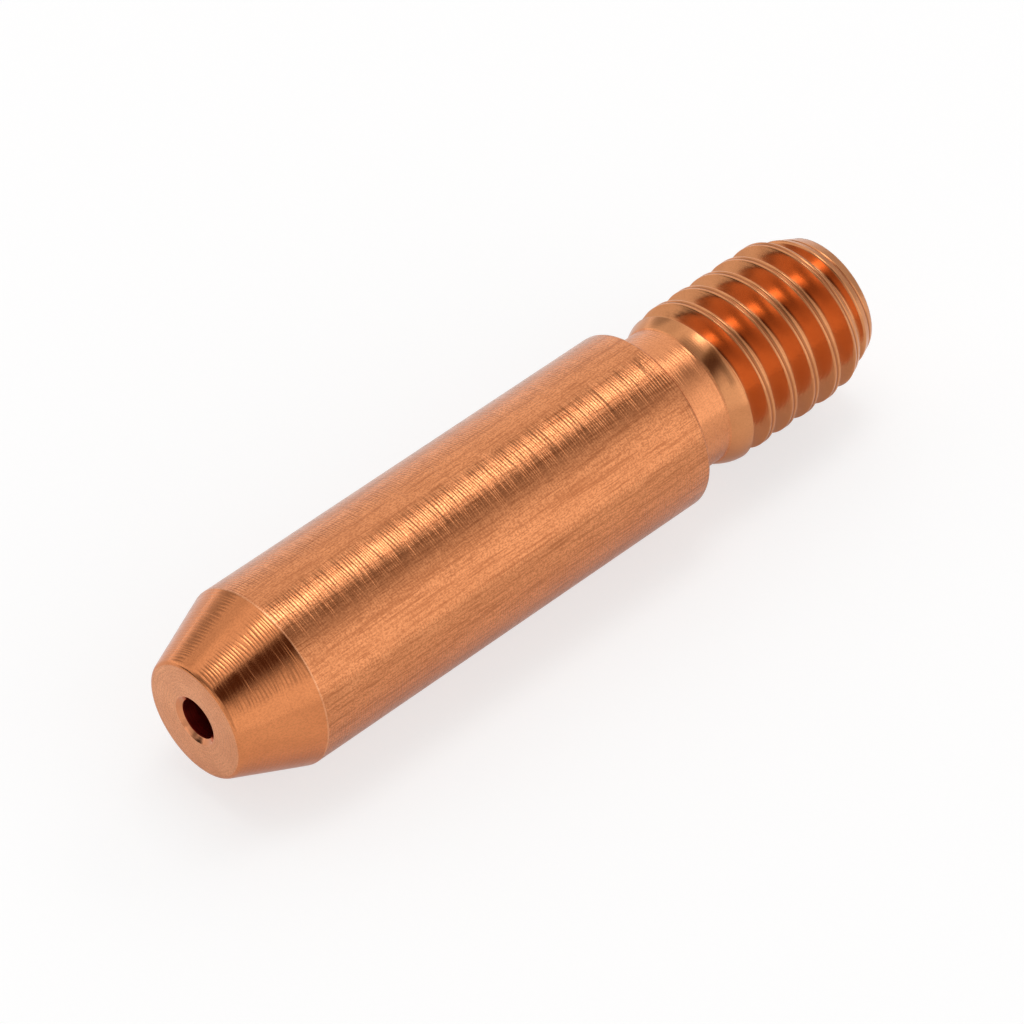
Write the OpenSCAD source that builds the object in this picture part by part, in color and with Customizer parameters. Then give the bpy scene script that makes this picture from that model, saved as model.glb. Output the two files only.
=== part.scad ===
// Welding contact tip: one turned copper piece with a drilled wire bore, a tapered nose,
// a plain round body, a neck behind the shoulder and a right-hand external thread.
// It stands on its threaded end with the nose up. Lengths are in millimetres.

/* [Body] */
// Diameter of the plain round body
body_d = 9; // [8.5:0.1:14]
// Length from the shoulder to the nose face
body_len = 27.3; // [12:0.1:60]
// Diameter at the small end of the nose taper
nose_d = 5.9; // [4:0.05:8]
// Length of the nose taper
nose_len = 3.8; // [1:0.1:10]
// Edge break round the nose face
nose_break = 0.13; // [0.05:0.01:0.4]
// Edge break round the shoulder
shoulder_break = 0.2; // [0.05:0.01:0.4]

/* [Neck] */
// Diameter of the plain neck between the shoulder and the thread
neck_d = 6.95; // [6.4:0.05:7.6]
// Length of the neck from the shoulder to the flare that leads up to the thread
neck_len = 2.25; // [0.5:0.05:8]
// Length of the flare from the neck up to the full thread diameter
flare_len = 0.7; // [0.2:0.1:3]

/* [Thread] */
// Major diameter over the thread crests
thread_d = 7.94; // [7.7:0.01:8.4]
// Pitch of the thread
thread_pitch = 1.411; // [1.25:0.001:2]
// Length from the end face to the neck
thread_len = 9.55; // [5:0.05:24]
// Depth of the thread groove
thread_depth = 0.85; // [0.3:0.01:0.9]
// Width of the flat thread crest
thread_crest = 0.25; // [0.15:0.01:0.4]
// Angle between the two flanks of the groove
thread_angle = 60; // [40:1:60]
// Share of a turn over which the groove fades out at the neck
run_out_turns = 0.6; // [0.2:0.05:0.9]
// Direction in which the groove leaves the end face
thread_phase = 340; // [0:1:359]

/* [Threaded end] */
// Diameter of the flat end face
end_d = 6.25; // [5:0.05:7]
// Length of the lead taper from the end face up to the full thread diameter
end_taper_len = 2; // [0.5:0.1:4]

/* [Wire bore] */
// Diameter of the straight wire bore
bore_d = 2; // [0.8:0.05:3]
// Mouth diameter of the chamfer in the nose face
bore_mouth_d = 2.5; // [2.1:0.05:4]
// Depth of the chamfer in the nose face
bore_mouth_depth = 0.18; // [0.05:0.01:1]
// Mouth diameter of the wire funnel in the end face
funnel_d = 4; // [3.2:0.1:4.8]
// Depth of the wire funnel in the end face
funnel_depth = 1.9; // [0.5:0.1:5]

/* [Hidden] */
$fn = 96;

// How far a cutting tool reaches past the face it cuts
over = 0.4;
// Straight pieces in one turn of the groove, and in the round at its bottom
turn_steps = 30;
root_steps = 3;

// Heights above the end face
shoulder_z = thread_len + neck_len;
nose_z = shoulder_z + body_len;

// Groove section: half width at the crest, flank slope and the round that joins both flanks
thread_r = thread_d / 2;
groove_half = (thread_pitch - thread_crest) / 2;
flank = thread_angle / 2;
floor_half = groove_half - thread_depth * tan(flank);
root_r = floor_half > 0 ? floor_half * (1 + sin(flank)) / cos(flank) : 0;
root_mid = thread_r - thread_depth + root_r;

// The flanks run on past the crest to a rim that is clear of the metal and of the next turn
rim_half = groove_half + thread_crest / 4;
rim_r = thread_r + thread_crest / 4 / tan(flank);

// Turns of the groove, counted from where its middle leaves the end face
first_turn = -1;
full_turn = (thread_len - 2 * groove_half) / thread_pitch;
last_turn = full_turn + run_out_turns;
groove_steps = ceil((last_turn - first_turn) * turn_steps);

// Turned outline from the axis at the end face round to the axis at the nose
module turned_blank() {
    rotate_extrude()
        polygon([
            [0, 0],
            [end_d / 2, 0],
            [thread_r, end_taper_len],
            [thread_r, thread_len - flare_len],
            [neck_d / 2, thread_len],
            [neck_d / 2, shoulder_z],
            [body_d / 2 - shoulder_break, shoulder_z],
            [body_d / 2, shoulder_z + shoulder_break],
            [body_d / 2, nose_z - nose_len],
            [nose_d / 2, nose_z - nose_break],
            [nose_d / 2 - nose_break, nose_z],
            [0, nose_z]
        ]);
}

// Groove section as [height from its middle, radius], from the lower rim round to the upper rim
function groove_section() = concat(
    [[-rim_half, rim_r]],
    [
        for (i = [0 : root_steps])
            let (turn = (90 - flank) * (2 * i / root_steps - 1))
                [root_r * sin(turn), root_mid - root_r * cos(turn)]
    ],
    [[rim_half, rim_r]]
);

// How far the groove has lifted out of the metal at a given turn
function lift(turns) = max(0, turns - full_turn) / run_out_turns * (thread_depth + over);

function groove_point(turns, corner) =
    let (radius = corner[1] + lift(turns), angle = thread_phase + 360 * turns)
        [radius * cos(angle), radius * sin(angle), thread_pitch * turns + corner[0]];

// Right-hand helical groove, swept from below the end face to where it fades out at the neck
module thread_groove() {
    section = groove_section();
    count = len(section);
    points = [
        for (step = [0 : groove_steps])
            let (turns = first_turn + (last_turn - first_turn) * step / groove_steps)
                for (corner = section) groove_point(turns, corner)
    ];
    walls = [
        for (step = [0 : groove_steps - 1], side = [0 : count - 1])
            let (
                here = step * count + side,
                next = step * count + (side + 1) % count
            )
                each [[here, next + count, next], [here, here + count, next + count]]
    ];
    start_cap = [for (side = [0 : count - 1]) side];
    end_cap = [for (side = [count - 1 : -1 : 0]) groove_steps * count + side];
    polyhedron(points = points, faces = concat(walls, [start_cap, end_cap]), convexity = 10);
}

// Straight bore with its chamfer in the nose face and the wire funnel in the end face
module wire_bore() {
    mouth_slope = (bore_mouth_d - bore_d) / 2 / bore_mouth_depth;
    funnel_slope = (funnel_d - bore_d) / 2 / funnel_depth;
    rotate_extrude()
        polygon([
            [0, -over],
            [funnel_d / 2 + over * funnel_slope, -over],
            [bore_d / 2, funnel_depth],
            [bore_d / 2, nose_z - bore_mouth_depth],
            [bore_mouth_d / 2 + over * mouth_slope, nose_z + over],
            [0, nose_z + over]
        ]);
}

module contact_tip() {
    color("#c47f52")
        difference() {
            turned_blank();
            thread_groove();
            wire_bore();
        }
}

contact_tip();
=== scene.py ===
import math
from collections import namedtuple

import bpy
from bpy.props import FloatProperty, FloatVectorProperty, PointerProperty
from mathutils import Matrix, Vector


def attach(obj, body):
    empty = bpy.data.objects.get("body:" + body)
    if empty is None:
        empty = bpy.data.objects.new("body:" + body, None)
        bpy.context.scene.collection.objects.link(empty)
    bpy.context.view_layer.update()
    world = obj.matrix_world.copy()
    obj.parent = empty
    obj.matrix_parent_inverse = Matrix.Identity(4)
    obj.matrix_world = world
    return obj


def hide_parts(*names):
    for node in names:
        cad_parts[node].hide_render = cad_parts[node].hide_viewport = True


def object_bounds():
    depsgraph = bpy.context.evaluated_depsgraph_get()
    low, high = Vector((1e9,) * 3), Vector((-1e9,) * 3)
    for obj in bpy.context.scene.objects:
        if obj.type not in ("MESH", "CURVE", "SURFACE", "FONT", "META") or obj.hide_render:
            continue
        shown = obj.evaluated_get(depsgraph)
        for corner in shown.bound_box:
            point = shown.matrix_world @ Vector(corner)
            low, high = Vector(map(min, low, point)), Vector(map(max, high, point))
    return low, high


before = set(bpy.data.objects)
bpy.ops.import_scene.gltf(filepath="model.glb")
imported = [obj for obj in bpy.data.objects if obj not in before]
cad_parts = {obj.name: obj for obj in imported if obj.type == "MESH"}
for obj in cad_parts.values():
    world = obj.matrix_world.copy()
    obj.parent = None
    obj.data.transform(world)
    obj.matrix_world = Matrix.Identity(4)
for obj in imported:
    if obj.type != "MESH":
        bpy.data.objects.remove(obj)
CAD_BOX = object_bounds()

bl_info = {
    "name": "Welding contact tip",
    "version": (1, 0, 0),
    "blender": (4, 5, 0),
    "location": "View3D > Sidebar > Contact tip",
    "description": "Builds a turned copper contact tip, its finishes and a white studio",
    "category": "Add Mesh",
}

MM = 0.001
WHITE = (1.0, 1.0, 1.0)

# How finely the mesh is divided
COLUMNS = 180
FLANK_ROWS = 9
EDGE_ROWS = 3
CREST_ROWS = 8
SEAM_ROWS = 3
ARC_STEPS = 5
LONGEST_BAND = 1.2 * MM

# Heights closer than this count as the same height
SLACK = 0.01 * MM

# How far the finish of the nose taper reaches over its edge onto the body
TAPER_OVERLAP = 0.1 * MM

# Powers that curve the thread's flanks and the flare
GROOVE_CURVE = 1.45
FLARE_CURVE = 1.8

# How many depths the groove lifts by while it runs out
RUN_OUT_LIFT = 1.5

# Share of the seam's depth at which its painted shade ends
SEAM_SHADE_END = 0.5

# Share of the crest edge's softness that the close rows of points cover
EDGE_REACH = 0.7

# Noise in the copper: its scale in x, y and z per millimetre, its detail and its roughness
Noise = namedtuple("Noise", "scale detail roughness")
WANDER = Noise((1.0, 1.0, 1.5), 2.0, 0.5)
SPOTS = Noise((13.0, 13.0, 9.0), 3.0, 0.5)
MOTTLE = Noise((0.7, 0.7, 0.25), 4.0, 0.6)
GRAIN = Noise((7.0, 7.0, 0.3), 5.0, 0.75)
DASHES = Noise((15.0, 15.0, 0.6), 3.0, 0.6)

# The part of each noise that shows as colour, from none to full
SPOTS_SHOWN = (0.4, 0.65)
MOTTLE_SHOWN = (0.35, 0.7)
GRAIN_SHOWN = (0.46, 0.66)
DASHES_SHOWN = (0.58, 0.68)
MOTTLE_DEPTH = 0.22
# How dark the painted shade of the tool-mark rings on a faced end is
PAINTED_RING_SHADE = 0.22

# How much the noise changes the polish
SPOTS_POLISH = 0.1
MOTTLE_POLISH = 0.12
NOISE_MIDDLE = 0.5

# Tool marks: how fast they change round the tip, how many marks they wander, and how uneven their depth is
MARK_TURN = 0.25
MARK_WANDER = 3.0
UNEVEN_TURN = 2.0
UNEVEN_PER_FEED = 0.7
UNEVEN_GAIN = 2.0
UNEVEN_LOSS = 0.2

# Quarter of a turn: a reflection is stretched along the tip, across the tool marks
STRETCH_TURN = 0.25

CLIP_START = 1 * MM
CLIP_END = 10000 * MM


def length(name, text, millimetres):
    return FloatProperty(name=name, description=text, default=millimetres * MM, unit="LENGTH")


def angle(name, text, degrees):
    return FloatProperty(name=name, description=text, default=math.radians(degrees), subtype="ANGLE")


def share(name, text, value):
    return FloatProperty(name=name, description=text, default=value, min=0.0, max=1.0, subtype="FACTOR")


def number(name, text, value):
    return FloatProperty(name=name, description=text, default=value)


def colour(name, text, rgb):
    return FloatVectorProperty(name=name, description=text, default=rgb, min=0.0, max=1.0, subtype="COLOR")


def edge(name, text, start, full):
    """A soft edge: a part of a ray's direction where something starts, and one where it is full"""
    return FloatVectorProperty(name=name, description=text, default=(start, full), size=2)


def toward(name, text, up, near, run):
    """A direction in the room, as its parts up from the floor, to the near side and along to the thread"""
    return FloatVectorProperty(name=name, description=text, default=(up, near, run), subtype="XYZ")


class TipSizes(bpy.types.PropertyGroup):
    """Sizes of the tip, from the threaded end up to the nose"""

    body_d: FloatProperty(
        name="Body diameter",
        description="Diameter of the plain round body",
        default=CAD_BOX[1].x - CAD_BOX[0].x,
        unit="LENGTH",
    )
    total_len: FloatProperty(
        name="Length",
        description="Length from the end face to the nose face",
        default=CAD_BOX[1].z - CAD_BOX[0].z,
        unit="LENGTH",
    )
    body_len: length("Body length", "Length from the shoulder to the nose face", 27.3)
    nose_d: length("Nose diameter", "Diameter at the small end of the nose taper", 5.9)
    nose_len: length("Nose taper", "Length of the nose taper", 3.8)
    nose_round: length("Nose edge", "Radius of the edge round the nose face", 0.26)
    taper_round: length("Taper edge", "Radius where the nose taper leaves the body", 0.2)
    shoulder_round: length("Shoulder edge", "Radius of the edge round the shoulder", 0.2)
    neck_d: length("Neck diameter", "Diameter of the plain neck", 6.95)
    neck_step: length("Neck step", "Height of the small step where the neck meets the flare", 0.07)
    thread_len: length("Thread length", "Length from the end face to the neck", 9.55)
    flare_len: length("Flare", "Length of the flare from the neck to the thread", 1.2)
    thread_d: length("Thread diameter", "Major diameter over the crests", 7.94)
    thread_pitch: length("Pitch", "Pitch of the thread", 1.411)
    thread_depth: length("Thread depth", "Depth of the thread groove", 0.85)
    thread_crest: length("Crest", "Width of the thread crest", 0.36)
    crest_round: length("Crest edge", "Softness of the crest's edges", 0.05)
    crest_seam: length("Crest seam", "Depth of the hollow along the crest", 0.05)
    seam_floor: share("Seam floor", "Share of the crest that is the flat bottom of its hollow", 0.05)
    seam_width: share("Seam width", "Share of the crest that its hollow takes up", 0.55)
    thread_phase: angle("Thread start", "Direction in which the groove leaves the end face", 340.0)
    run_out_turns: share("Run-out", "Share of a turn over which the groove fades out", 0.6)
    end_d: length("End face", "Diameter of the flat end face", 6.25)
    end_taper_len: length("Lead taper", "Length of the taper behind the end face", 2.0)
    bore_d: length("Bore", "Diameter of the straight wire bore", 2.0)
    bore_mouth_d: length("Bore mouth", "Mouth diameter of the chamfer in the nose face", 2.5)
    bore_mouth_depth: length("Mouth depth", "Depth of the chamfer in the nose face", 0.18)
    mouth_round: length("Mouth edges", "Radius of the two edges of that chamfer", 0.03)
    funnel_d: length("Funnel mouth", "Mouth diameter of the funnel in the end face", 4.0)
    funnel_depth: length("Funnel depth", "Depth of the funnel in the end face", 1.9)
    funnel_throat: length("Funnel throat", "Radius where the funnel meets the bore", 0.2)
    funnel_round: length("Funnel edge", "Radius of the edge round the funnel", 0.05)


class TipFinish(bpy.types.PropertyGroup):
    """Colours of the copper and the marks of the tools that cut it; several zones take lit or shaded copies of
    the copper, which are painted light and shade
    """

    copper: colour("Copper", "Bright turned copper", (0.8, 0.31, 0.13))
    # Tarnish: real darker copper in the drawn grain and spots; on the faced ends it also carries the painted
    # shade of the rings
    tarnish_and_ring_shade: colour("Tarnish", "Darker copper in the grain and the marks", (0.42, 0.135, 0.05))
    # Faced ends: a paler, pinker copy of the copper, a painted reflection of the white floor
    painted_lit_face: colour("Nose face", "Paler, pinker copper of the faced end", (0.9, 0.405, 0.2))
    # Nose taper: a darker copy of the copper, painted shade
    cone: colour("Nose taper", "Copper of the nose taper", (0.76, 0.27, 0.103))
    # Thread: a darker, less saturated copy of the copper, painted shade of its grooves
    thread: colour("Thread", "Copper of the thread", (0.7, 0.29, 0.12))
    # Seam: a darker copy of the copper in the hollow along each crest, painted shade of that hollow
    seam: colour("Seam", "Dark copper in the hollow along the crest", (0.46, 0.165, 0.065))
    # Bore mouth: a darker copy of the copper on the chamfer, painted shade
    mouth: colour("Bore mouth", "Darker copper of the chamfer at the bore", (0.73, 0.29, 0.14))
    # Bore: a dark red copy of the copper inside the wire bore, painted shade of the deep hole
    bore: colour("Bore", "Dark red copper inside the bore", (0.45, 0.045, 0.035))
    body_feed: length("Body feed", "Distance between the tool marks on the body", 0.14)
    body_cut: length("Body cut", "Depth of the tool marks on the body", 0.007)
    cone_feed: length("Nose taper feed", "Distance between the tool marks on the nose taper", 0.15)
    cone_cut: length("Nose taper cut", "Depth of the tool marks on the nose taper", 0.006)
    neck_feed: length("Neck feed", "Distance between the tool marks on the neck", 0.14)
    neck_cut: length("Neck cut", "Depth of the tool marks on the neck", 0.007)
    face_feed: length("Face feed", "Distance between the rings on the nose face", 0.17)
    face_cut: length("Face cut", "Depth of the rings on the nose face", 0.005)
    thread_feed: length("Thread feed", "Distance between the fine marks in the thread", 0.1)
    thread_cut: length("Thread cut", "Depth of the fine marks in the thread", 0.0008)
    stretch: share("Stretch", "How much the tool marks stretch a reflection along the tip", 0.25)


class StudioSettings(bpy.types.PropertyGroup):
    """Camera, floor and softbox"""

    azimuth: angle("Azimuth", "Camera's direction round the tip", 9.173)
    elevation: angle("Elevation", "Camera's height above the end face's plane", 29.107)
    roll: angle("Roll", "Camera's turn about its own axis, because the tip lies on its side", -123.972)
    distance: length("Distance", "From the camera to the point that it looks at", 312.6)
    aim: FloatVectorProperty(
        name="Aim",
        description="Point that the camera looks at",
        default=(-1.706 * MM, 9.496 * MM, 14.751 * MM),
        unit="LENGTH",
    )
    lens: number("Lens", "Focal length in millimetres", 235.5)
    floor_turn: angle("Floor direction", "Azimuth that the floor faces", 45.0)
    floor_size: length("Floor size", "Side of the square floor", 160.0)
    floor_gap: length("Floor gap", "Gap that keeps the floor off the metal", 0.02)
    floor_white: share("Floor white", "Whiteness of the floor", 0.97)
    floor_glow: share("Floor glow", "Share of plain white that the floor shows to the camera", 0.6)
    floor_level: number("Floor level", "Level of that plain white", 1.09)
    floor_shine: share("Floor shine", "Share of plain white that the floor shows to the metal", 0.15)
    lamp_reach: length("Lamp distance", "From the tip to the softbox", 400.0)
    lamp_length: length("Lamp length", "Length of the softbox, along the tip", 275.0)
    lamp_width: length("Lamp width", "Width of the softbox, across the tip", 100.0)
    lamp_level: number("Lamp level", "Brightness of the softbox; 1 is white", 2.3)
    lamp_along: number("Lamp shift", "Lean of the softbox to the thread", 0.119)
    lamp_side: number("Lamp offset", "Lean of the softbox to the near side", -0.16)


class RoomSettings(bpy.types.PropertyGroup):
    """Levels and zones of the white room that the copper mirrors, with its dark side, lamps and cards"""

    room_level: number("Room level", "Brightness of the white room", 1.2)
    horizon: edge("Horizon", "Height at which the dark side and the flags begin", 0.0, 0.3)
    body_side: edge("Body side", "Where the room that the body mirrors begins, from the nose", -0.15, 0.1)

    dark: colour("Dark side", "Colour of the room round the camera", (0.07, 0.035, 0.02))
    dark_start: edge("Dark start", "Where the dark side begins, from the softbox", 0.06, 0.16)
    dark_lean: number("Dark lean", "How much the dark side's start leans along the tip", 0.08)
    dark_stop: edge("Dark stop", "Where the dark side ends, to the near side", 0.46, 0.84)
    dark_early: share("Dark early", "How much earlier it begins to end on the body's side", 0.26)
    dark_late: share("Dark late", "How much later it has ended on the body's side", 0.02)
    dark_nose: edge("Dark at nose", "Where the dark side begins beyond the nose", -0.85, -0.55)
    dark_thread: edge("Dark at thread", "Where the dark side ends beyond the thread", 0.5, 0.95)
    dark_relief: share("Dark relief", "How much lighter the dark side is on the body's side", 0.26)

    front_gain: share("Front gain", "How much brighter the near side of the room is", 0.04)
    front: edge("Front", "Where the brighter near side begins", 0.45, 0.75)
    low_level: share("Low level", "Brightness of the near side of the room beyond the nose", 0.86)
    low: edge("Low", "Where that near side begins", 0.5, 0.7)
    slat_depth: share("Slat depth", "How dark the low slats on the near side are", 0.5)
    slat_start: edge("Slat start", "Where the slats begin", 0.5, 0.6)
    slat_stop: edge("Slat stop", "Where the slats end", 0.86, 0.92)
    slat_nose: edge("Slat at nose", "Where the slats begin beyond the nose", -0.3, -0.22)

    far_level: share("Far level", "Brightness of the far side of the room", 0.84)
    far_start: edge("Far start", "Where the far side begins", -0.2, -0.45)
    far_stop: edge("Far stop", "Where the far side turns lighter again", -0.72, -0.9)
    far_relief: share("Far relief", "How much lighter it turns there", 0.7)
    end_level: share("End level", "Brightness of the room beyond the thread", 0.5)
    end_start: edge("End start", "Where the room beyond the thread begins", 0.7, 0.95)
    nose_level: share("Nose level", "Brightness of the room beyond the nose", 0.6)
    nose_start: edge("Nose start", "Where the room beyond the nose begins", -0.5, -0.85)

    strip: edge("Strip", "Edge of the strip of room in line with the softbox", 0.22, 0.4)
    flag_depth: share("Flag depth", "How dark the room is at the two ends of the softbox", 0.6)
    flag_nose: edge("Flag at nose", "Where the flag at the nose begins", -0.24, -0.38)
    flag_thread: edge("Flag at thread", "Where the flag at the thread begins", 0.44, 0.5)
    second_gain: share("Second gain", "How much brighter the second softbox, beyond the thread, is", 0.9)
    second_start: edge("Second start", "Where that flag ends and the second softbox begins", 0.62, 0.7)
    second_stop: edge("Second stop", "Where the second softbox ends", 0.82, 0.9)

    card_depth: share("Card depth", "How dark the card on the far side is", 0.26)
    card_place: toward("Card place", "Direction of that card", 0.48, -0.88, -0.1)
    card_edge: edge("Card edge", "Soft edge of that card", 0.9, 0.98)
    low_card_depth: share("Low card depth", "How dark the low card on the far side is", 0.5)
    low_card_place: toward("Low card place", "Direction of that card", 0.28, -0.94, 0.15)
    low_card_edge: edge("Low card edge", "Soft edge of that card", 0.94, 0.99)
    nose_card_depth: share("Nose card depth", "How dark the card at the far side of the nose is", 0.95)
    nose_card_place: toward("Nose card place", "Direction of that card", -0.06, -0.6, -0.8)
    nose_card_edge: edge("Nose card edge", "Soft edge of that card", 0.955, 0.985)
    glint_gain: share("Glint gain", "How much brighter the small lamp beyond the nose is", 1.0)
    glint_place: toward("Glint place", "Direction of that lamp", 0.18, -0.1, -0.97)
    glint_edge: edge("Glint edge", "Soft edge of that lamp", 0.97, 0.99)


class Value:
    """A number in a node tree, with Python's operators as Math nodes"""

    def __init__(self, tree, socket):
        self.tree = tree
        self.socket = socket

    def math(self, operation, *others):
        return self.tree.add("ShaderNodeMath", {"operation": operation}, [self, *others]).value()

    def __add__(self, other):
        return self.math("ADD", other)

    def __radd__(self, other):
        return self.math("ADD", other)

    def __sub__(self, other):
        return self.math("SUBTRACT", other)

    def __rsub__(self, other):
        return (self * -1) + other

    def __mul__(self, other):
        return self.math("MULTIPLY", other)

    def __rmul__(self, other):
        return self.math("MULTIPLY", other)


class Added:
    """A node that has just been added, and its outputs"""

    def __init__(self, tree, node):
        self.tree = tree
        self.node = node

    def value(self, name=0):
        return Value(self.tree, self.node.outputs[name])


class Tree:
    """A node tree that is filled by code"""

    def __init__(self, node_tree):
        self.nodes = node_tree.nodes
        self.links = node_tree.links
        self.nodes.clear()

    def add(self, kind, settings=None, sockets=None):
        """Adds one node: its type, its settings, and the values or links of its sockets by name or order"""
        node = self.nodes.new(kind)
        for name, value in (settings or {}).items():
            setattr(node, name, value)
        pairs = sockets.items() if isinstance(sockets, dict) else enumerate(sockets or [])
        for name, value in pairs:
            if isinstance(value, Value):
                self.links.new(value.socket, node.inputs[name])
            else:
                node.inputs[name].default_value = value
        return Added(self, node)

    def mix(self, factor, first, second):
        """A colour between two colours"""
        factor_in, first_in, second_in, colour_out = 0, 6, 7, 2
        sockets = {factor_in: factor, first_in: self.rgba(first), second_in: self.rgba(second)}
        return self.add("ShaderNodeMix", {"data_type": "RGBA"}, sockets).value(colour_out)

    @staticmethod
    def rgba(shade):
        return shade if isinstance(shade, Value) else (*shade[:3], 1.0)

    def scaled(self, vector, factors):
        return self.add("ShaderNodeVectorMath", {"operation": "MULTIPLY"}, [vector, factors]).value()

    def dot(self, vector, axis):
        settings = {"operation": "DOT_PRODUCT"}
        return self.add("ShaderNodeVectorMath", settings, [vector, tuple(axis)]).value("Value")

    def noise(self, place, kind):
        sockets = {
            "Vector": self.scaled(place, kind.scale),
            "Scale": 1.0,
            "Detail": kind.detail,
            "Roughness": kind.roughness,
        }
        return self.add("ShaderNodeTexNoise", None, sockets).value("Fac")

    def span(self, value, low, high):
        """0 at low, 1 at high, smooth between"""
        settings = {"interpolation_type": "SMOOTHSTEP"}
        sockets = {"Value": value, "From Min": low, "From Max": high, "To Min": 0.0, "To Max": 1.0}
        return self.add("ShaderNodeMapRange", settings, sockets).value()


def new_material(name):
    material = bpy.data.materials.new(name)
    material.use_nodes = True
    return material, Tree(material.node_tree)


def tool_marks(tree, place, feed, faced):
    """Round tool marks at a feed, along the tip or, if faced, along the radius: their height and unevenness"""
    if faced:
        flat = tree.scaled(place, (1.0, 1.0, 0.0))
        run = tree.add("ShaderNodeVectorMath", {"operation": "LENGTH"}, [flat]).value("Value")
    else:
        run = tree.add("ShaderNodeSeparateXYZ", None, [place]).value("Z")
    around = tree.scaled(place, (MARK_TURN, MARK_TURN, 0.0))
    line = tree.add("ShaderNodeCombineXYZ", None, [0.0, 0.0, run]).value()
    line = tree.add("ShaderNodeVectorMath", {"operation": "ADD"}, [around, line]).value()
    wander = tree.noise(line, WANDER)
    scale = (UNEVEN_TURN, UNEVEN_TURN, UNEVEN_PER_FEED * MM / feed)
    uneven = tree.noise(line, WANDER._replace(scale=scale))
    wave = (run * (MM / feed) + wander * MARK_WANDER) * math.pi
    return wave.math("SINE").math("ABSOLUTE") * (uneven * UNEVEN_GAIN - UNEVEN_LOSS), uneven


def copper_material(
    name, base, dark, feed, cut, roughness, faced=False, stretch=0.0, streaks=0.0, grit=0.0, ragged=0.0
):
    """Machined copper with tool marks of a feed and a depth: streaks is the share of dark drawn grain, grit the
    share of fine uneven spots, and ragged how much the polish of the marks differs"""
    material, tree = new_material(name)
    place = tree.add("ShaderNodeTexCoord").value("Object")
    place = tree.scaled(place, (1 / MM, 1 / MM, 1 / MM))
    marks, uneven = tool_marks(tree, place, feed, faced)
    spots, mottle, grain, dashes = (tree.noise(place, kind) for kind in (SPOTS, MOTTLE, GRAIN, DASHES))
    shade = tree.mix(tree.span(mottle, *MOTTLE_SHOWN) * MOTTLE_DEPTH, base, dark)
    shade = tree.mix(tree.span(spots, *SPOTS_SHOWN) * grit, shade, dark)
    shade = tree.mix(tree.span(grain, *GRAIN_SHOWN) * streaks, shade, dark)
    shade = tree.mix(tree.span(dashes, *DASHES_SHOWN) * streaks, shade, dark)
    # On a faced end the tool-mark rings are painted as darker copper: painted shade of the rings
    if faced:
        shade = tree.mix(marks * PAINTED_RING_SHADE, shade, dark)
    height = marks + (spots - NOISE_MIDDLE) * grit
    bump = tree.add("ShaderNodeBump", None, {"Strength": 1.0, "Distance": cut, "Height": height})
    polish = roughness + (spots - NOISE_MIDDLE) * SPOTS_POLISH + (mottle - NOISE_MIDDLE) * MOTTLE_POLISH
    sockets = {
        "Base Color": shade,
        "Metallic": 1.0,
        "Roughness": polish + (uneven - NOISE_MIDDLE) * ragged,
        "Anisotropic": stretch,
        "Anisotropic Rotation": STRETCH_TURN,
        "Normal": bump.value(),
    }
    surface = tree.add("ShaderNodeBsdfPrincipled", None, sockets)
    tree.add("ShaderNodeOutputMaterial", None, {"Surface": surface.value()})
    return material


def rounded(corners):
    """Turns (radius, height, rounding) corners into a line of points, with an arc at each rounded corner"""
    points = []
    for index, (radius, height, rounding) in enumerate(corners):
        here = Vector((radius, height))
        if not rounding or index in (0, len(corners) - 1):
            points.append(here)
            continue
        back = (Vector(corners[index - 1][:2]) - here).normalized()
        ahead = (Vector(corners[index + 1][:2]) - here).normalized()
        half = back.angle(ahead) / 2
        middle = here + (back + ahead).normalized() * (rounding / math.sin(half))
        start = here + back * (rounding / math.tan(half)) - middle
        end = here + ahead * (rounding / math.tan(half)) - middle
        for step in range(ARC_STEPS + 1):
            turned = start.normalized().slerp(end.normalized(), step / ARC_STEPS)
            points.append(middle + turned * rounding)
    return points


def divided(points, longest):
    """Adds points so that no stretch is longer than `longest`"""
    line = [points[0]]
    for point in points[1:]:
        parts = max(1, math.ceil((point - line[-1]).length / longest))
        first = line[-1]
        line += [first.lerp(point, part / parts) for part in range(1, parts + 1)]
    return line


def soft_min(first, second, width):
    """The smaller of two lengths, with the corner between them rounded"""
    near = max(width - abs(first - second), 0.0) / width
    return min(first, second) - near * near * width / 4


def soft_step(part):
    """0 up to 0, 1 from 1, smooth between"""
    part = min(max(part, 0.0), 1.0)
    return part * part * (3 - 2 * part)


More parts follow.
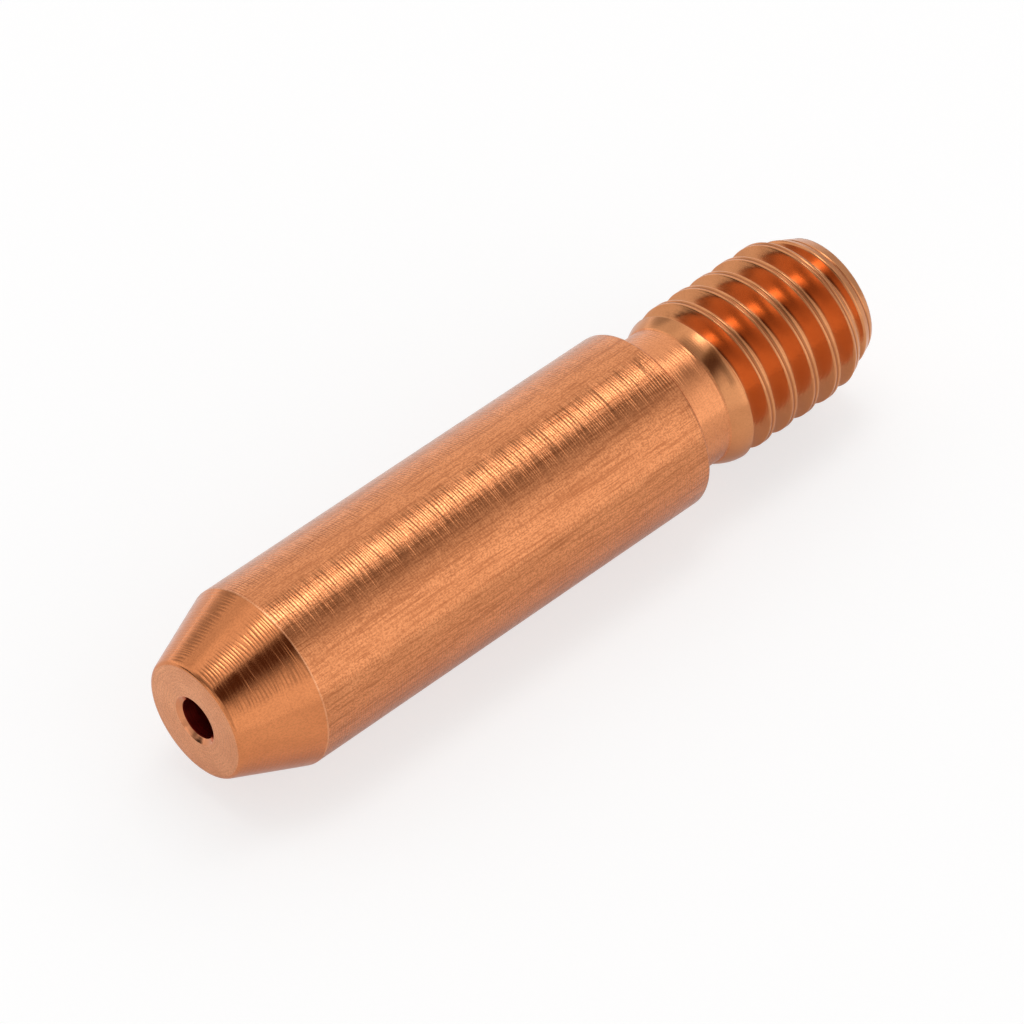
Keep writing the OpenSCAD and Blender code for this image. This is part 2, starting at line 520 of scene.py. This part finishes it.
class TipMesh:
    """Vertices, faces and finish zones of the whole tip"""

    def __init__(self, sizes):
        self.sizes = sizes
        self.points = []
        self.faces = []
        self.zones = []
        self.angles = [2 * math.pi * column / COLUMNS for column in range(COLUMNS)]
        self.groove_half = (sizes.thread_pitch - sizes.thread_crest) / 2
        self.root = sizes.thread_d / 2 - sizes.thread_depth
        self.full_turn = (sizes.thread_len - 2 * self.groove_half) / sizes.thread_pitch
        self.foot = sizes.neck_d / 2 + sizes.neck_step

    def ring(self, radius, height):
        first = len(self.points)
        for turn in self.angles:
            self.points.append((radius * math.cos(turn), radius * math.sin(turn), height))
        return list(range(first, first + COLUMNS))

    def face(self, corners, zone):
        corners = [c for i, c in enumerate(corners) if c != corners[i - 1]]
        if len(corners) > 2:
            self.faces.append(corners)
            self.zones.append(zone)

    def join(self, lower, upper, zone):
        """A band of faces between two rings, seen from the side that is left of lower to upper"""
        for column in range(COLUMNS):
            beside = (column + 1) % COLUMNS
            self.face([lower[column], lower[beside], upper[beside], upper[column]], zone)

    def blank_radius(self, height):
        """Radius of the turned shank before the thread is made"""
        sizes = self.sizes
        full = sizes.thread_d / 2
        lead = sizes.end_d / 2 + (full - sizes.end_d / 2) * height / sizes.end_taper_len
        rise = min((sizes.thread_len - height) / sizes.flare_len, 1.0)
        flare = self.foot + (full - self.foot) * (1 - (1 - rise) ** FLARE_CURVE)
        return min(full, lead, flare)

    def groove_radius(self, offset):
        """Radius of the groove at a distance along the axis from its middle"""
        return self.root + self.sizes.thread_depth * (offset / self.groove_half) ** GROOVE_CURVE

    def turns_from_start(self, turn):
        """Share of a turn from the thread's start round to a direction"""
        return (turn - self.sizes.thread_phase) / (2 * math.pi)

    def thread_radius(self, turn, height):
        """Radius of the threaded shank at a place"""
        sizes = self.sizes
        begun = self.turns_from_start(turn)
        turns = begun + round(height / sizes.thread_pitch - begun)
        past = max(0.0, turns - self.full_turn) / sizes.run_out_turns
        offset = abs(height - turns * sizes.thread_pitch)
        groove = self.groove_radius(offset) + past * sizes.thread_depth * RUN_OUT_LIFT
        across = (sizes.thread_pitch / 2 - offset) / (sizes.thread_crest / 2)
        filled = soft_step((across - sizes.seam_floor) / (sizes.seam_width - sizes.seam_floor))
        seam = sizes.crest_seam * (1 - filled) * self.seam_left(turn, height)
        return soft_min(self.blank_radius(height), groove, sizes.crest_round) - seam

    def seam_left(self, turn, height):
        """Share of the crest's seam at a place: 1 on the full thread, 0 where the groove above has run out"""
        begun = self.turns_from_start(turn)
        groove_above = begun + math.floor(height / self.sizes.thread_pitch - begun) + 1
        return max(0.0, 1 - max(0.0, groove_above - self.full_turn) / self.sizes.run_out_turns)

    def thread_rows(self):
        """Heights within one pitch where the thread's section needs points"""
        half = self.sizes.thread_pitch / 2
        corner = self.sizes.crest_round * EDGE_REACH
        inner = self.groove_half - corner
        flank = [inner * part / FLANK_ROWS for part in range(FLANK_ROWS)]
        rim = [self.groove_half + corner * part / EDGE_ROWS for part in range(-EDGE_ROWS, EDGE_ROWS + 1)]
        rest = half - self.groove_half - corner
        crest = [half - rest * part / CREST_ROWS for part in range(CREST_ROWS - 1, 0, -1)]
        side = flank + rim + crest
        return [-half] + [-row for row in reversed(side[1:])] + side

    def add_thread(self):
        """The threaded shank, with rows that follow the helix; returns its end ring and its neck ring"""
        sizes = self.sizes
        top = sizes.thread_len
        pitch = sizes.thread_pitch
        rows = self.thread_rows()
        copies = range(-2, math.ceil(top / pitch) + 2)
        starts = [pitch * copy + row for copy in copies for row in rows]
        end_ring = self.ring(sizes.end_d / 2, 0.0)
        neck_ring = self.ring(self.foot, top)
        grid = []
        for column, turn in enumerate(self.angles):
            rise = pitch * self.turns_from_start(turn)
            line = []
            for start in starts:
                height = start + rise
                if height <= SLACK:
                    line.append(end_ring[column])
                elif height >= top - SLACK:
                    line.append(neck_ring[column])
                else:
                    radius = self.thread_radius(turn, height)
                    line.append(len(self.points))
                    self.points.append((radius * math.cos(turn), radius * math.sin(turn), height))
            grid.append(line)
        grid.append(grid[0][len(rows):] + [neck_ring[0]] * len(rows))
        for turn, left, right in zip(self.angles, grid, grid[1:]):
            rise = pitch * self.turns_from_start(turn)
            for row in range(len(starts) - 1):
                middle = (starts[row] + starts[row + 1]) / 2 + rise
                # Faces along the crest's seam take the seam's painted shade
                on_seam = (row + SEAM_ROWS) % len(rows) < 2 * SEAM_ROWS
                on_seam = on_seam and self.seam_left(turn, middle) > SEAM_SHADE_END
                corners = [left[row], right[row], right[row + 1], left[row + 1]]
                self.face(corners, "seam" if on_seam else "thread")
        return end_ring, neck_ring

    def zone_of(self, first, second):
        """Finish of the stretch of outline between two points"""
        sizes = self.sizes
        shoulder = sizes.total_len - sizes.body_len
        middle = (first + second) / 2
        level = abs(first.y - second.y) < 2 * SLACK
        inside = middle.x < sizes.bore_mouth_d / 2 and middle.y > sizes.funnel_depth
        if inside and middle.y < sizes.total_len - sizes.bore_mouth_depth:
            return "bore"
        if inside:
            return "mouth"
        if middle.y < sizes.funnel_depth:
            return "end"
        if middle.y < shoulder - SLACK:
            return "neck"
        if level and middle.y > shoulder + sizes.nose_len:
            return "face"
        if middle.y > sizes.total_len - sizes.nose_len - TAPER_OVERLAP:
            return "cone"
        return "body"

    def add_turned(self, end_ring, neck_ring):
        """Everything that is round, from the neck over the nose and down the bore to the end face"""
        sizes = self.sizes
        nose = sizes.total_len
        shoulder = nose - sizes.body_len
        outline = rounded(
            [
                (self.foot, sizes.thread_len, 0.0),
                (sizes.neck_d / 2, sizes.thread_len + sizes.neck_step, sizes.neck_step / 2),
                (sizes.neck_d / 2, shoulder, sizes.shoulder_round),
                (sizes.body_d / 2, shoulder, sizes.shoulder_round),
                (sizes.body_d / 2, nose - sizes.nose_len, sizes.taper_round),
                (sizes.nose_d / 2, nose, sizes.nose_round),
                (sizes.bore_mouth_d / 2, nose, sizes.mouth_round),
                (sizes.bore_d / 2, nose - sizes.bore_mouth_depth, sizes.mouth_round),
                (sizes.bore_d / 2, sizes.funnel_depth, sizes.funnel_throat),
                (sizes.funnel_d / 2, 0.0, sizes.funnel_round),
                (sizes.end_d / 2, 0.0, 0.0),
            ]
        )
        outline = divided(outline, LONGEST_BAND)
        rings = [neck_ring]
        rings += [self.ring(point.x, point.y) for point in outline[1:-1]]
        rings.append(end_ring)
        for index in range(len(outline) - 1):
            zone = self.zone_of(outline[index], outline[index + 1])
            self.join(rings[index], rings[index + 1], zone)


class TIP_OT_tip(bpy.types.Operator):
    """Build the copper tip with its thread, bore and finishes"""

    bl_idname = "contact_tip.tip"
    bl_label = "Contact tip"

    def execute(self, context):
        scene = context.scene
        build = TipMesh(scene.tip_sizes)
        build.add_turned(*build.add_thread())
        materials = self.materials(scene.tip_finish)
        order = list(materials)
        mesh = bpy.data.meshes.new("turned_tip")
        mesh.from_pydata(build.points, [], build.faces)
        for material in materials.values():
            mesh.materials.append(material)
        mesh.polygons.foreach_set("material_index", [order.index(zone) for zone in build.zones])
        mesh.polygons.foreach_set("use_smooth", [True] * len(build.faces))
        if mesh.validate():
            raise RuntimeError("The tip's mesh has faults: check its sizes")
        tip = bpy.data.objects.new("turned_tip", mesh)
        scene.collection.objects.link(tip)
        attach(tip, "root")
        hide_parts("contact_tip")
        return {"FINISHED"}

    @staticmethod
    def materials(finish):
        """The copper of each zone, by the zone's name; several zones take lit or shaded copies of it, painted
        light and shade
        """
        body = (finish.body_feed, finish.body_cut)
        cone = (finish.cone_feed, finish.cone_cut)
        neck = (finish.neck_feed, finish.neck_cut)
        face = (finish.face_feed, finish.face_cut)
        fine = (finish.thread_feed, finish.thread_cut)
        drawn = {"stretch": finish.stretch, "streaks": 0.75, "grit": 0.6, "ragged": 0.25}
        turned = {"stretch": finish.stretch, "grit": 0.3, "ragged": 0.2}
        faced = {"faced": True, "grit": 0.4}

        def zone(name, base, marks, roughness, **extras):
            return copper_material(f"{name}_copper", base, finish.tarnish_and_ring_shade, *marks, roughness, **extras)

        return {
            # The thread's darker copper is painted shade of the grooves
            "thread": zone("thread", finish.thread, fine, roughness=0.2, grit=0.15),
            # The seam's darker copper is painted shade in the crest's hollow
            "seam": zone("seam", finish.seam, fine, roughness=0.3),
            "neck": zone("neck", finish.copper, neck, roughness=0.25, **turned),
            "body": zone("body", finish.copper, body, roughness=0.17, **drawn),
            # The nose taper's darker copper is painted shade
            "cone": zone("cone", finish.cone, cone, roughness=0.16, **turned),
            # The nose face's paler copper is a painted reflection of the white floor
            "face": zone("face", finish.painted_lit_face, face, roughness=0.32, **faced),
            # The mouth's darker copper is painted shade on the chamfer
            "mouth": zone("mouth", finish.mouth, fine, roughness=0.15),
            # The bore's dark red copper is painted shade of the hole
            "bore": zone("bore", finish.bore, neck, roughness=0.35),
            # The end face takes the same paler copper, a painted reflection of the white floor
            "end": zone("end", finish.painted_lit_face, face, roughness=0.32, **faced),
        }


class TIP_OT_studio(bpy.types.Operator):
    """Set up the camera, the white floor and the soft light"""

    bl_idname = "contact_tip.studio"
    bl_label = "Studio"

    def execute(self, context):
        scene = context.scene
        studio = scene.tip_studio
        scene.view_settings.view_transform = "Standard"
        up = Vector((math.sin(studio.floor_turn), -math.cos(studio.floor_turn), 0.0))
        along = Vector((0.0, 0.0, -1.0))
        near_side = along.cross(up)
        self.add_camera(scene, studio)
        self.add_floor(scene, studio, up, scene.tip_sizes.body_d / 2)
        self.add_world(scene, scene.tip_room, studio.lamp_side, (up, near_side, along))
        self.add_softbox(scene, studio, up, near_side, along)
        return {"FINISHED"}

    @staticmethod
    def add_camera(scene, studio):
        flat = math.cos(studio.elevation)
        ahead = Vector(
            (-math.sin(studio.azimuth) * flat, math.cos(studio.azimuth) * flat, -math.sin(studio.elevation))
        )
        level = ahead.cross(Vector((0.0, 0.0, 1.0))).normalized()
        lift = level.cross(ahead)
        right = level * math.cos(studio.roll) + lift * math.sin(studio.roll)
        upward = right.cross(ahead)
        turn = Matrix((right, upward, -ahead)).transposed()
        data = bpy.data.cameras.new("camera")
        data.lens = studio.lens
        data.clip_start = CLIP_START
        data.clip_end = CLIP_END
        camera = bpy.data.objects.new("camera", data)
        place = Vector(studio.aim) - ahead * studio.distance
        camera.matrix_world = Matrix.Translation(place) @ turn.to_4x4()
        scene.collection.objects.link(camera)
        scene.camera = camera

    @staticmethod
    def add_floor(scene, studio, up, drop):
        """White paper under the tip, which isn't seen from behind"""
        half = studio.floor_size / 2
        corners = [(-half, -half, 0), (half, -half, 0), (half, half, 0), (-half, half, 0)]
        mesh = bpy.data.meshes.new("floor")
        mesh.from_pydata(corners, [], [(0, 1, 2, 3)])
        material, tree = new_material("floor_white")
        white = tree.rgba((studio.floor_white,) * 3)
        paper = tree.add("ShaderNodeBsdfDiffuse", None, {"Color": white}).value()
        glow = {"Color": tree.rgba(WHITE), "Strength": studio.floor_level}
        glow = tree.add("ShaderNodeEmission", None, glow).value()
        path = tree.add("ShaderNodeLightPath")
        lifted = path.value("Is Camera Ray") * studio.floor_glow
        lifted = lifted + path.value("Is Glossy Ray") * studio.floor_shine
        paper = tree.add("ShaderNodeMixShader", None, [lifted, paper, glow]).value()
        clear = tree.add("ShaderNodeBsdfTransparent").value()
        behind = tree.add("ShaderNodeNewGeometry").value("Backfacing")
        seen = tree.add("ShaderNodeMixShader", None, [behind, paper, clear]).value()
        tree.add("ShaderNodeOutputMaterial", None, {"Surface": seen})
        mesh.materials.append(material)
        floor = bpy.data.objects.new("floor", mesh)
        floor.rotation_mode = "QUATERNION"
        floor.rotation_quaternion = up.to_track_quat("Z", "Y")
        floor.location = -up * (drop + studio.floor_gap)
        scene.collection.objects.link(floor)

    @staticmethod
    def add_world(scene, room, lamp_side, axes):
        """A room that the camera sees as plain white, and the copper with a dark side, lamps and cards"""
        world = bpy.data.worlds.new("white_room")
        world.use_nodes = True
        tree = Tree(world.node_tree)
        ray = tree.add("ShaderNodeTexCoord").value("Generated")
        seen = tree.add("ShaderNodeLightPath").value("Is Camera Ray")
        height, near, run = (tree.dot(ray, axis) for axis in axes)
        above = tree.span(height, *room.horizon)
        body_side = tree.span(run, *room.body_side)

        def patch(place, soft_edge):
            """1 within a round patch of the room, 0 outside it"""
            middle = sum((axis * part for axis, part in zip(axes, place)), Vector())
            return tree.span(tree.dot(ray, middle.normalized()), *soft_edge)

        inner = tree.span(near + run * room.dark_lean, *room.dark_start)
        stop, stopped = room.dark_stop
        outer = 1 - tree.span(near, stop - body_side * room.dark_early, stopped + body_side * room.dark_late)
        ends = tree.span(run, *room.dark_nose) * (1 - tree.span(run, *room.dark_thread))
        dark = inner * outer * ends * above * (1 - body_side * room.dark_relief)

        strip = 1 - tree.span((near - lamp_side).math("ABSOLUTE"), *room.strip)
        second = tree.span(run, *room.second_start)
        flags = tree.span(run, *room.flag_thread) * (1 - second) + tree.span(run, *room.flag_nose)
        slats = tree.span(near, *room.slat_start) * (1 - tree.span(near, *room.slat_stop))
        far = tree.span(near, *room.far_start) * (1 - tree.span(near, *room.far_stop) * room.far_relief)
        darker = [
            tree.span(run, *room.nose_start) * (1 - room.nose_level),
            tree.span(run, *room.end_start) * (1 - room.end_level),
            far * (1 - room.far_level),
            strip * flags * above * room.flag_depth,
            slats * (1 - body_side) * tree.span(run, *room.slat_nose) * room.slat_depth,
            tree.span(near, *room.low) * (1 - body_side) * (1 - room.low_level),
            patch(room.card_place, room.card_edge) * room.card_depth,
            patch(room.low_card_place, room.low_card_edge) * room.low_card_depth,
            patch(room.nose_card_place, room.nose_card_edge) * room.nose_card_depth,
        ]
        brighter = [
            tree.span(near, *room.front) * body_side * room.front_gain,
            strip * second * (1 - tree.span(run, *room.second_stop)) * room.second_gain,
            patch(room.glint_place, room.glint_edge) * room.glint_gain,
        ]
        parts = [1 - part for part in darker] + [1 + part for part in brighter]
        level = math.prod(parts, start=room.room_level)
        level = level + (1 - level) * seen
        shade = tree.mix(dark * (1 - seen), WHITE, room.dark)
        light = tree.add("ShaderNodeBackground", None, {"Color": tree.scaled(shade, level), "Strength": 1.0})
        tree.add("ShaderNodeOutputWorld", None, {"Surface": light.value()})
        scene.world = world

    @staticmethod
    def add_softbox(scene, studio, up, near_side, along):
        aim = (up + near_side * studio.lamp_side + along * studio.lamp_along).normalized()
        data = bpy.data.lights.new("softbox", "AREA")
        data.shape = "RECTANGLE"
        data.size = studio.lamp_length
        data.size_y = studio.lamp_width
        data.energy = studio.lamp_level * math.pi * studio.lamp_length * studio.lamp_width
        lamp = bpy.data.objects.new("softbox", data)
        across = (along - aim * along.dot(aim)).normalized()
        turn = Matrix((across, aim.cross(across), aim)).transposed()
        place = aim * studio.lamp_reach + Vector(studio.aim)
        lamp.matrix_world = Matrix.Translation(place) @ turn.to_4x4()
        scene.collection.objects.link(lamp)


class TIP_PT_sidebar(bpy.types.Panel):
    """Contact tip tools in the sidebar"""

    bl_idname = "TIP_PT_sidebar"
    bl_label = "Contact tip"
    bl_space_type = "VIEW_3D"
    bl_region_type = "UI"
    bl_category = "Contact tip"

    def draw(self, context):
        for operator in OPERATORS:
            self.layout.operator(operator.bl_idname)
        for group in GROUPS:
            values = getattr(context.scene, group)
            for name in values.bl_rna.properties.keys():
                if name not in ("rna_type", "name"):
                    self.layout.prop(values, name)


GROUPS = {
    "tip_sizes": TipSizes,
    "tip_finish": TipFinish,
    "tip_studio": StudioSettings,
    "tip_room": RoomSettings,
}
OPERATORS = (TIP_OT_tip, TIP_OT_studio)


def register():
    for item in (*GROUPS.values(), *OPERATORS, TIP_PT_sidebar):
        bpy.utils.register_class(item)
    for name, group in GROUPS.items():
        setattr(bpy.types.Scene, name, PointerProperty(type=group))


def unregister():
    for name in GROUPS:
        delattr(bpy.types.Scene, name)
    for item in (TIP_PT_sidebar, *reversed(OPERATORS), *GROUPS.values()):
        bpy.utils.unregister_class(item)


def main():
    register()
    bpy.ops.contact_tip.studio()
    bpy.ops.contact_tip.tip()


if __name__ == "__main__":
    main()
